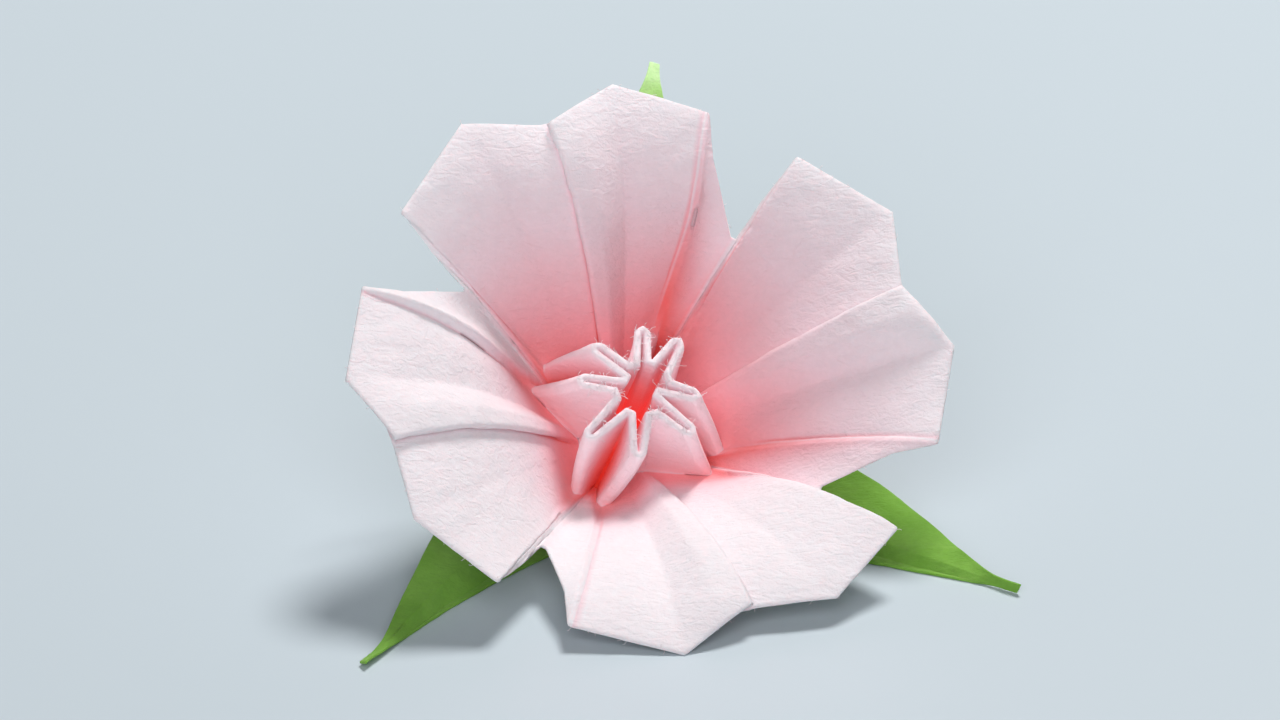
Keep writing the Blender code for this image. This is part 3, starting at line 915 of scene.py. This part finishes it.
def sheet_solid(points, faces, grain):
    """Closed sheet with a rounded cut edge; grain moves each side a little.

    It returns the points, the faces and which middle points lie at the edge.
    """
    size, height, seed = grain
    count = len(points)
    shifts = vertex_shifts(points, faces)
    half = 0.5 * SHEET
    top = points + shifts * (half + fractal(points, size, seed, 2) * height)[:, None]
    bottom = points - shifts * (half + fractal(points, size, seed + 1, 2) * height)[:, None]
    solid = [tuple(f) for f in faces]
    solid += [tuple(v + count for v in reversed(f)) for f in faces]
    every = [top, bottom]
    rim = boundary_edges(faces)
    outward = np.zeros((count, 3))
    for a, b in rim:
        along = points[b] - points[a]
        side = np.cross(along, shifts[a])
        side /= max(np.linalg.norm(side), TINY)
        outward[a] += side
        outward[b] += side
    order = {}
    extra = []
    for a, b in rim:
        for v in (a, b):
            if v not in order:
                order[v] = 2 * count + len(extra)
                push = outward[v] / max(np.linalg.norm(outward[v]), TINY)
                extra.append(points[v] + push * half * EDGE_ROUND)
    every.append(np.array(extra))
    for a, b in rim:
        solid.append((b, a, order[a], order[b]))
        solid.append((order[b], order[a], a + count, b + count))
    rim_points = np.array(sorted(order, key=order.get))
    return np.vstack(every), solid, rim_points


def fractal(points, size, seed, octaves=3):
    """Soft noise at a list of points, about -1 to 1; size may differ by axis."""
    offset = np.array((seed * 17.3, seed * 5.1, seed * 9.7))
    places = (points / np.array(size) + offset).tolist()
    return np.array([noise.fractal(p, 1.0, 2.0, octaves) for p in places])


def relief(points, kind):
    """Heights from a kind of waves, which holds their size, height and seed."""
    size, height, seed = kind
    return fractal(points, size, seed) * height


def unit(vector):
    """Vector of length one."""
    return vector / np.linalg.norm(vector)


def loose_fibres(starts, kind):
    """Fine curled hairs that stand off at places picked from starts.

    kind holds how strongly they rise, their count, their reach and the seed.
    """
    rise, count, reach, seed = kind
    dice = np.random.default_rng(seed)
    points = []
    faces = []
    for pick in dice.choice(len(starts), count, replace=False):
        at = starts[pick]
        way = unit(np.array((0.0, 0.0, rise)) + dice.normal(0.0, FIBRE_SCATTER, 3))
        length = dice.uniform(FIBRE_SHORTEST, 1.0) * reach / FIBRE_STEPS
        for step in range(FIBRE_STEPS + 1):
            across = unit(np.cross(way, (0.3, 0.5, 0.8)))
            other = np.cross(way, across)
            first = len(points)
            for turn in (0.0, 120.0, 240.0):
                angle = math.radians(turn)
                points.append(at + FIBRE_RADIUS * (
                    math.cos(angle) * across + math.sin(angle) * other))
            if step:
                for side in range(3):
                    a = first - 3 + side
                    b = first - 3 + (side + 1) % 3
                    faces.append((a, b, b + 3, a + 3))
            else:
                faces.append((first + 2, first + 1, first))
            at = at + way * length
            way = unit(way + dice.normal(0.0, FIBRE_CURL, 3))
        faces.append((first, first + 1, first + 2))
    return np.array(points), faces


def lean_all(points):
    """Lean a whole array of points over to the pose on the table."""
    zero = lean(Vector((0.0, 0.0, 0.0)))
    frame_rows = [lean(Vector(v)) - zero for v in ((1, 0, 0), (0, 1, 0), (0, 0, 1))]
    matrix = np.array([tuple(row) for row in frame_rows])
    return points @ matrix + np.array(zero)


def add_mesh(name, points, faces, made, attributes):
    """Mesh object in metres with named number attributes on its points."""
    mesh = bpy.data.meshes.new(name)
    mesh.from_pydata((points * MM).tolist(), [], faces)
    mesh.update()
    for key, values in attributes.items():
        layer = mesh.attributes.new(key, "FLOAT", "POINT")
        layer.data.foreach_set("value", values.astype(np.float32))
    mesh.polygons.foreach_set("use_smooth", [True] * len(mesh.polygons))
    mesh.materials.append(made)
    obj = bpy.data.objects.new(name, mesh)
    bpy.context.scene.collection.objects.link(obj)
    return obj


def new_node(tree, kind, values):
    """Shader node with its properties or input values set by name."""
    node = tree.nodes.new(kind)
    for key, value in values.items():
        if key in node.inputs:
            node.inputs[key].default_value = value
        else:
            setattr(node, key, value)
    return node


def paper_material(name, ramp, values):
    """Felt-like paper: a colour ramp over the tint, with fibre relief.

    values holds the relief's depth, mottling, sheen and subsurface scattering.
    The points' tint picks the colour, painted shade included, and their glow how strongly
    the paper emits as painted glow.
    """
    made = bpy.data.materials.new(name)
    made.use_nodes = True
    tree = made.node_tree
    links = tree.links
    shader = tree.nodes["Principled BSDF"]
    tint = new_node(tree, "ShaderNodeAttribute", {"attribute_name": "tint"})
    colours = tree.nodes.new("ShaderNodeValToRGB")
    marks = colours.color_ramp.elements
    marks[0].position, marks[0].color = ramp[0]
    marks[1].position, marks[1].color = ramp[-1]
    for position, colour in ramp[1:-1]:
        marks.new(position).color = colour
    place = tree.nodes.new("ShaderNodeTexCoord")
    long_way = new_node(tree, "ShaderNodeMapping", {"Scale": (0.42, 1.0, 1.0)})
    links.new(place.outputs["Object"], long_way.inputs["Vector"])
    mottle = new_node(tree, "ShaderNodeTexNoise",
                      {"Scale": 1500.0, "Detail": 4.0, "Roughness": 0.7})
    links.new(place.outputs["Object"], mottle.inputs["Vector"])
    mottle_scale = new_node(tree, "ShaderNodeMapRange", {
        "From Min": 0.3, "From Max": 0.7,
        "To Min": 1.0 - values["mottle"], "To Max": 1.0 + 0.5 * values["mottle"]})
    links.new(mottle.outputs["Fac"], mottle_scale.inputs["Value"])
    links.new(tint.outputs["Fac"], colours.inputs["Fac"])
    scale = new_node(tree, "ShaderNodeVectorMath", {"operation": "SCALE"})
    links.new(colours.outputs["Color"], scale.inputs[0])
    links.new(mottle_scale.outputs["Result"], scale.inputs["Scale"])
    links.new(scale.outputs["Vector"], shader.inputs["Base Color"])
    fine = new_node(tree, "ShaderNodeTexNoise", {
        "Scale": 4200.0, "Detail": 3.0, "Roughness": 0.6, "Distortion": 0.6})
    links.new(place.outputs["Object"], fine.inputs["Vector"])
    broad = new_node(tree, "ShaderNodeTexNoise", {
        "Scale": 1500.0, "Detail": 2.0, "Roughness": 0.5, "Distortion": 1.0})
    links.new(long_way.outputs["Vector"], broad.inputs["Vector"])
    total = new_node(tree, "ShaderNodeMath", {"operation": "MULTIPLY_ADD"})
    total.inputs[1].default_value = BROAD_RELIEF
    links.new(broad.outputs["Fac"], total.inputs[0])
    links.new(fine.outputs["Fac"], total.inputs[2])
    bump = new_node(tree, "ShaderNodeBump", {
        "Strength": 0.8, "Distance": values["relief"] * MM})
    links.new(total.outputs["Value"], bump.inputs["Height"])
    links.new(bump.outputs["Normal"], shader.inputs["Normal"])
    shader.inputs["Roughness"].default_value = 0.9
    shader.inputs["Specular IOR Level"].default_value = 0.15
    shader.inputs["Sheen Weight"].default_value = values["sheen"]
    shader.inputs["Sheen Roughness"].default_value = 0.5
    # painted glow: the glow attribute drives emission in the tint's colour
    inner = new_node(tree, "ShaderNodeAttribute", {"attribute_name": "glow"})
    links.new(inner.outputs["Fac"], shader.inputs["Emission Strength"])
    links.new(colours.outputs["Color"], shader.inputs["Emission Color"])
    shader.inputs["Subsurface Weight"].default_value = values["scatter"]
    shader.inputs["Subsurface Radius"].default_value = values["depth"]
    shader.inputs["Subsurface Scale"].default_value = values["reach"] * MM
    return made


def pleat_distance(station):
    """Millimetres from the pleat's shaded inner edge, on the lip beside it."""
    if station < 1.0:
        return max(0.0, (station - PLEAT_EDGE) * PLEAT_WIDTHS[0])
    return (1.0 - PLEAT_EDGE) * PLEAT_WIDTHS[0] + (station - 1.0) * PLEAT_WIDTHS[1]


def valley_closeness(marks):
    """1 in the middle of a valley, falling to 0 a few stations beside it."""
    return np.maximum(0.0, 1.0 - np.abs(marks % STATIONS - VALLEY) / VALLEY_REACH)


def petal_numbers(marks):
    """Which petal each mark of a ring belongs to."""
    return ((marks + STATIONS - VALLEY) // STATIONS).astype(int) % PETALS


def petal_tint_and_shade(petal, share, mark):
    """Tint of the petals, partly painted shade: redder towards the star and on the less lit
    petals, palest where light falls, with painted shade on the strip beside the valley,
    along the valley and beside the pleat's edge.
    """
    pink, fade, deep, reach, strip = PETAL_TINTS_AND_SHADE[petal]
    tint = pink * (1.0 - share) ** fade + deep * math.exp(-(share / reach) ** 2)
    station = mark % STATIONS
    # painted shade on the strip beside the valley
    if STRIP_BAND[0] < station < STRIP_BAND[1]:
        tint += strip
    # painted shade along the valley between two petals
    near_valley = max(0.0, 1.0 - abs(station - VALLEY) / VALLEY_SHADE_LINE[1])
    tint += VALLEY_SHADE_LINE[0] * (1.0 - VALLEY_SHADE_LINE[2] * share) * near_valley ** 2
    if station < PLEAT_BAND:
        tint += PLEAT_SHADE * math.exp(-(pleat_distance(station) / PLEAT_SPREAD) ** 2)
    return tint


def blossom_tints_and_shade(zones, shares, marks):
    """Tint of every point of the middle surface, row by row, with painted shade in the
    throat, at the walls' foot, in the valleys and on the petals.
    """
    rows = [np.array([1.0])]
    petals = petal_numbers(marks)
    valley = valley_closeness(marks)
    same = np.ones(len(marks))
    for zone, share in zip(zones, shares):
        if zone == "throat":
            # painted shade: the throat grows redder towards its floor
            row = same * mix(THROAT_TINT_AND_SHADE, 1.0, share ** THROAT_SHADE_FADE)
        elif zone == "crest":
            row = same * (CREST_TINT[0] + CREST_TINT[1] * (1.0 - share) ** 4)
        elif zone == "wall":
            # painted shade towards the walls' foot and in the valleys
            row = WALL_TINT_AND_SHADE[0] + WALL_TINT_AND_SHADE[1] * share
            row = row + WALL_TINT_AND_SHADE[2] * valley * share ** VALLEY_SHADE_FADE
        else:
            row = np.array([petal_tint_and_shade(petal, share, mark)
                            for petal, mark in zip(petals, marks)])
            # painted shade where the petals meet the star
            foot = FOOT_SHADE_TINT[0] + FOOT_SHADE_TINT[1] * valley
            row = mix(row, foot, max(0.0, 1.0 - share / FOOT_SHADE_SHARE))
        rows.append(row)
    return np.concatenate(rows)


def blossom_glow(zones, shares, marks):
    """Painted glow, emission for light that comes through the thin paper, row by row."""
    free = 1.0 - valley_closeness(marks)
    back_light = np.array(BACK_LIGHT)[petal_numbers(marks)]
    same = np.ones(len(marks))
    rows = [np.array([THROAT_GLOW[1]])]
    for zone, share in zip(zones, shares):
        if zone == "throat":
            row = same * mix(THROAT_GLOW[0], THROAT_GLOW[1], share)
        elif zone == "crest":
            row = same * CREST_GLOW
        elif zone == "wall":
            row = WALL_GLOW * free * (1.0 - 0.5 * share)
        else:
            row = back_light * share + FOOT_GLOW * max(0.0, 1.0 - share / FOOT_GLOW_SHARE)
        rows.append(row)
    return np.concatenate(rows)


def groove_share(zones, shares, marks):
    """How deep each point lies in the groove beside a side fold, 0 to 1."""
    station = marks % STATIONS
    across = np.zeros(len(marks))
    for low, high in GROOVES:
        middle = 0.5 * (low + high)
        inside = 1.0 - np.abs(station - middle) / (0.5 * (high - low))
        across = np.maximum(across, np.clip(inside * 2.0, 0.0, 1.0))
    rows = [np.zeros(1)]
    for zone, share in zip(zones, shares):
        along = beyond(share, GROOVE_SPAN) if zone == "petal" else 0.0
        rows.append(across * along)
    return np.concatenate(rows)


def make_blossom():
    """The pink sheet."""
    levels, zones, shares, marks = fine_grid()
    apex = np.array([[0.0, 0.0, -THROAT_DROP - HUB_SEAT]])
    points = np.vstack([apex] + levels)
    columns = len(marks)
    faces = grid_faces(len(levels), columns)
    tints = blossom_tints_and_shade(zones, shares, marks)
    radius = np.hypot(points[:, 0], points[:, 1])
    open_part = np.clip((radius - OPEN_RADII[0]) / (OPEN_RADII[1] - OPEN_RADII[0]), 0.0, 1.0)
    shifts = vertex_shifts(points, faces)
    same_way = np.where(shifts[:, 2] < 0.0, -1.0, 1.0)
    waves = relief(points, BROAD_WAVES) + relief(points, LONG_WAVES)
    waves = waves * open_part * same_way + relief(points, FINE_WAVES)
    groove = groove_share(zones, shares, marks)
    points = points + shifts * (waves - GROOVE_DEPTH * groove)[:, None]
    # painted shade in the groove beside a side fold
    tints = tints + GROOVE_SHADE_TINT * groove
    solid, solid_faces, rim = sheet_solid(points, faces, PINK_GRAIN)
    tint = np.concatenate([tints, np.minimum(tints, BACK_TINT), tints[rim] * EDGE_TINT])
    glow = blossom_glow(zones, shares, marks)
    glow = np.concatenate([glow, BACK_GLOW * glow, glow[rim]])
    crest = [1 + row * columns + column for row, zone in enumerate(zones)
             if zone == "crest" for column in range(columns)]
    for starts, kind in ((points[crest], CREST_FIBRES), (points[-columns:], EDGE_FIBRES)):
        hairs, hair_faces = loose_fibres(starts, kind)
        first = len(solid)
        solid = np.vstack([solid, hairs])
        solid_faces += [tuple(first + k for k in face) for face in hair_faces]
        tint = np.concatenate([tint, np.full(len(hairs), FIBRE_TINT)])
        glow = np.concatenate([glow, np.full(len(hairs), CREST_GLOW)])
    solid = lean_all(solid) + np.array(MOVE)
    solid[:, 2] = np.maximum(solid[:, 2], TABLE_GAP)
    made = paper_material("pink_felt_paper", PINK_RAMP, PINK_VALUES)
    obj = add_mesh("blossom_sheet", solid, solid_faces, made, {
        "tint": np.clip(tint, 0.0, 1.0), "glow": glow})
    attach(obj, "root")
    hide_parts("blossom")
    return obj


def smooth_mesh(name, points, faces, edge_weight, levels):
    """Crease-aware subdivision of a middle surface; returns points and faces."""
    mesh = bpy.data.meshes.new(name)
    mesh.from_pydata([tuple(p) for p in points], [], faces)
    mesh.update()
    edges = mesh.attributes.new("crease_edge", "FLOAT", "EDGE")
    for edge in mesh.edges:
        edges.data[edge.index].value = edge_weight(*edge.vertices)
    obj = bpy.data.objects.new(name, mesh)
    bpy.context.scene.collection.objects.link(obj)
    modifier = obj.modifiers.new("smooth", "SUBSURF")
    modifier.levels = levels
    modifier.render_levels = levels
    modifier.boundary_smooth = "PRESERVE_CORNERS"
    graph = bpy.context.evaluated_depsgraph_get()
    result = obj.evaluated_get(graph).to_mesh()
    count = len(result.vertices)
    out = np.empty(count * 3)
    result.vertices.foreach_get("co", out)
    out = out.reshape(-1, 3)
    polygons = [tuple(p.vertices) for p in result.polygons]
    obj.evaluated_get(graph).to_mesh_clear()
    bpy.data.objects.remove(obj, do_unlink=True)
    bpy.data.meshes.remove(mesh)
    return out, polygons


def make_leaves():
    """The green sheet."""
    grids = [leaf_grid(index) for index in range(3)]
    points, faces = leaf_surface(grids)
    ridge_keys = {place_key(line[4]) for grid in grids for line in grid}
    ridge = {index for index, point in enumerate(points)
             if place_key(point) in ridge_keys}

    def edge_weight(a, b):
        return 1.0 if a in ridge and b in ridge else 0.0

    fine, polygons = smooth_mesh("leaf_net", points, faces, edge_weight, LEAF_LEVELS)
    shifts = vertex_shifts(fine, polygons)
    waves = relief(fine, LEAF_WAVES) + relief(fine, LEAF_FINE_WAVES)
    fine = fine + shifts * waves[:, None]
    fine = lean_all(fine)
    fine[:, 2] = np.maximum(fine[:, 2], 0.5 * SHEET + LEAF_TABLE_GAP)
    fine = fine + np.array(MOVE)
    solid, solid_faces, _ = sheet_solid(fine, polygons, GREEN_GRAIN)
    solid[:, 2] = np.maximum(solid[:, 2], 0.0)
    # painted light: the raised tip is made paler and glows more
    raised = solid[:, 2] - LEAF_LIGHT_HEIGHTS[0]
    high = np.clip(raised / (LEAF_LIGHT_HEIGHTS[1] - LEAF_LIGHT_HEIGHTS[0]), 0.0, 1.0)
    tint = LEAF_TINT_AND_LIGHT[0] + relief(solid, LEAF_CLOUDS) + LEAF_TINT_AND_LIGHT[1] * high
    made = paper_material("green_felt_paper", GREEN_RAMP, GREEN_VALUES)
    obj = add_mesh("leaf_sheet", solid, solid_faces, made, {
        "tint": np.clip(tint, 0.0, 1.0), "glow": LEAF_GLOW[0] + LEAF_GLOW[1] * high})
    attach(obj, "root")
    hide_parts("leaf_base")
    return obj


def make_stage():
    """Pale floor and soft studio light."""
    mesh = bpy.data.meshes.new("floor")
    corners = [(x * FLOOR_HALF, y * FLOOR_HALF, 0.0)
               for x, y in ((-1, -1), (1, -1), (1, 1), (-1, 1))]
    mesh.from_pydata(corners, [], [(0, 1, 2, 3)])
    floor = bpy.data.objects.new("floor", mesh)
    bpy.context.scene.collection.objects.link(floor)
    made = bpy.data.materials.new("floor_paint")
    made.use_nodes = True
    shader = made.node_tree.nodes["Principled BSDF"]
    shader.inputs["Base Color"].default_value = FLOOR_COLOUR
    shader.inputs["Roughness"].default_value = 0.42
    shader.inputs["Specular IOR Level"].default_value = 0.4
    mesh.materials.append(made)
    world = bpy.data.worlds.new("studio")
    bpy.context.scene.world = world
    world.use_nodes = True
    back = world.node_tree.nodes["Background"]
    back.inputs["Color"].default_value = SKY[0]
    back.inputs["Strength"].default_value = SKY[1]
    for name, place, size, power, colour in LAMPS:
        light = bpy.data.lights.new(name, "AREA")
        light.shape = "DISK"
        light.size = size
        light.energy = power
        light.color = colour
        lamp = bpy.data.objects.new(name, light)
        lamp.location = place
        aim = Vector(LAMP_TARGET) - Vector(place)
        lamp.rotation_euler = aim.to_track_quat("-Z", "Y").to_euler()
        bpy.context.scene.collection.objects.link(lamp)


def make_camera():
    """Camera at the photograph's angle."""
    up = math.radians(VIEW_ELEVATION)
    back = Vector((0.0, -math.cos(up), math.sin(up)))
    rise = Vector((0.0, math.sin(up), math.cos(up)))
    right = Vector((1.0, 0.0, 0.0))
    centre = lean(Vector((0.0, 0.0, 0.0))) + MOVE
    centre = centre + right * VIEW_SHIFT[0] + rise * VIEW_SHIFT[1]
    data = bpy.data.cameras.new("camera")
    data.sensor_width = SENSOR_WIDTH
    data.lens = SENSOR_WIDTH * VIEW_DISTANCE / (VIEW_WIDTH * MM)
    data.clip_end = VIEW_LIMIT
    obj = bpy.data.objects.new("camera", data)
    obj.location = centre * MM + back * VIEW_DISTANCE
    obj.rotation_euler = (math.radians(90.0 - VIEW_ELEVATION), 0.0, 0.0)
    bpy.context.scene.collection.objects.link(obj)
    bpy.context.scene.camera = obj


bpy.context.scene.view_settings.view_transform = "Standard"
make_camera()
make_stage()
make_blossom()
make_leaves()
